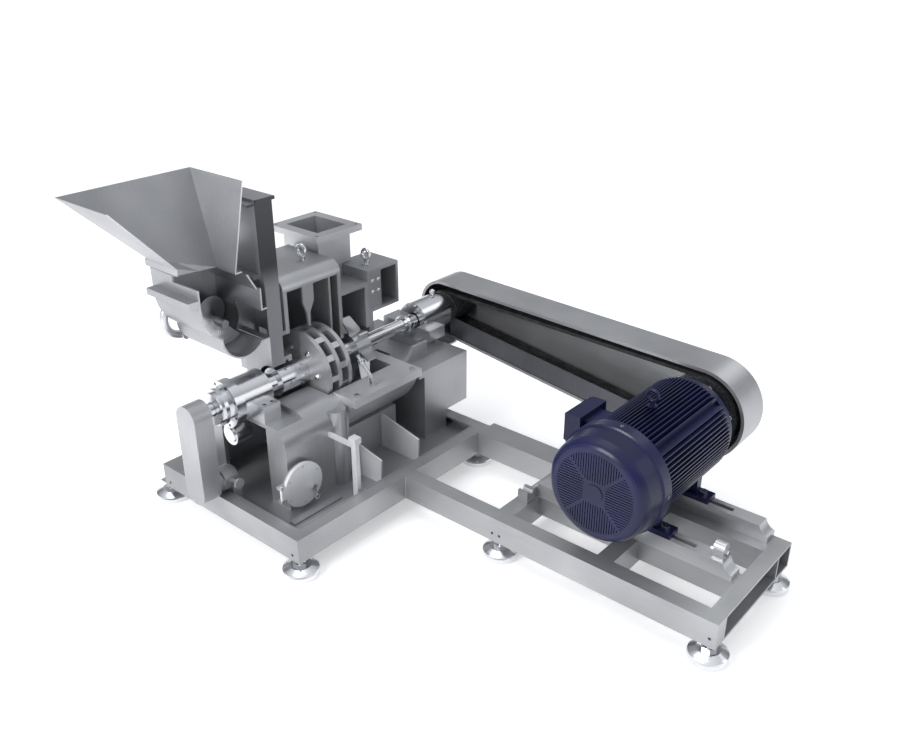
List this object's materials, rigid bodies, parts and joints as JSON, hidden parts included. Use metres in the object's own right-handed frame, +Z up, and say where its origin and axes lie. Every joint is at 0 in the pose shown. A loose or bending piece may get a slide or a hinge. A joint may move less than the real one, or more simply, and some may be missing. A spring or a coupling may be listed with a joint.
{
  "type": "impact pulverizer",
  "caption": "Impact pulverizer opened for display: feed hopper and screw, rotor with hammers and fan, belt drive from an electric motor, on a footed steel base.",
  "frame": {"origin": "middle of the machine's footprint box, on the floor under the foot pads", "axes": "+X from the mill toward the motor, +Y from the feed end toward the belt drive along the shafts, +Z up"},
  "size_m": [2.793, 2.168, 1.65],
  "materials": {
    "frame_steel": "satin",
    "bright_steel": "satin",
    "dark_steel": "satin",
    "chrome": "polished",
    "cast": "machined",
    "navy_paint": "gloss",
    "belt_rubber": "matte"
  },
  "bodies": {
    "machine": {"mill_base_frame": "frame_steel", "mill_deck": "dark_steel", "motor_base_frame": "frame_steel", "foot_pads": "chrome", "foot_studs": "chrome", "front_slide_rail": "bright_steel", "rear_slide_rail": "bright_steel", "rail_adjusting_bolts": "chrome", "motor_frame": "navy_paint", "motor_fan_cover": "navy_paint", "motor_end_shield": "navy_paint", "motor_terminal_box": "navy_paint", "motor_lifting_eye": "navy_paint", "motor_foot_bolts": "chrome", "v_belts": "belt_rubber", "guard_shell": "frame_steel", "guard_front_plate": "dark_steel", "guard_brackets": "frame_steel", "feed_bearing_base": "bright_steel", "feed_bearing_cap": "chrome", "feed_bearing_ring": "chrome", "feed_end_flange": "chrome", "drive_bearing_base": "bright_steel", "drive_bearing_cap": "chrome", "drive_bearing_ring": "chrome", "oil_pot": "chrome", "feed_end_stand": "frame_steel", "drive_end_pedestal": "frame_steel", "lower_casing": "frame_steel", "casing_legs": "bright_steel", "upper_casing": "frame_steel", "casing_partition": "dark_steel", "drive_end_box": "frame_steel", "outlet_duct": "frame_steel", "hopper": "bright_steel", "feed_chute": "frame_steel", "feeder_trough": "frame_steel", "bow_handle": "bright_steel", "take_off_cover": "bright_steel", "take_off_belt": "belt_rubber", "oil_pump": "frame_steel", "cleanout_neck": "frame_steel", "lifting_eye_bolts": "chrome", "joint_bolts": "chrome"},
    "rotor": {"main_shaft": "chrome", "rotor_sleeve": "chrome", "rotor_discs": "dark_steel", "impact_hammers": "bright_steel", "fan_wheel": "bright_steel", "mill_pulley": "cast", "take_off_pulley": "cast"},
    "motor_rotor": {"motor_shaft": "bright_steel", "motor_rotor_core": "cast", "motor_cooling_fan": "dark_steel", "motor_pulley": "cast"},
    "screw": {"feed_screw": "bright_steel"},
    "pump_rotor": {"pump_shaft": "bright_steel"},
    "cleanout_door": {"cleanout_cover": "bright_steel"},
    "cleanout_lever": {"cleanout_clamp": "chrome"},
    "swing_bolt": {"swing_bolt": "chrome"}
  },
  "joints": [
    {"name": "motor_spin", "type": "hinge", "parent": "machine", "child": "motor_rotor", "pos_m": [0.7335, 0.444, 0.535], "axis": [0, 1, 0], "continuous": true},
    {"name": "rotor_spin", "type": "hinge", "parent": "machine", "child": "rotor", "pos_m": [-0.8775, -0.056, 0.652], "axis": [0, 1, 0], "continuous": true},
    {"name": "pump_spin", "type": "hinge", "parent": "machine", "child": "pump_rotor", "pos_m": [-0.8775, -0.756, 0.278], "axis": [0, 1, 0], "continuous": true},
    {"name": "screw_spin", "type": "hinge", "parent": "machine", "child": "screw", "pos_m": [-1.0375, -0.506, 0.97], "axis": [1, 0, 0], "continuous": true},
    {"name": "cleanout_hinge", "type": "hinge", "parent": "machine", "child": "cleanout_door", "pos_m": [-0.5375, -0.63, 0.288], "axis": [0, 0, 1], "range_deg": [-45, 0]},
    {"name": "cleanout_lever_turn", "type": "hinge", "parent": "cleanout_door", "child": "cleanout_lever", "pos_m": [-0.5275, -0.452, 0.254], "axis": [1, 0, 0], "range_deg": [0, 120]},
    {"name": "swing_bolt_pivot", "type": "hinge", "parent": "machine", "child": "swing_bolt", "pos_m": [-0.5865, 0.029, 0.612], "axis": [1, 0, 0], "range_deg": [-30, 45]}
  ],
  "couplings": [
    {"joint": "rotor_spin", "follows": "motor_spin", "ratio": 2.0599},
    {"joint": "pump_spin", "follows": "motor_spin", "ratio": 2.0599}
  ]
}
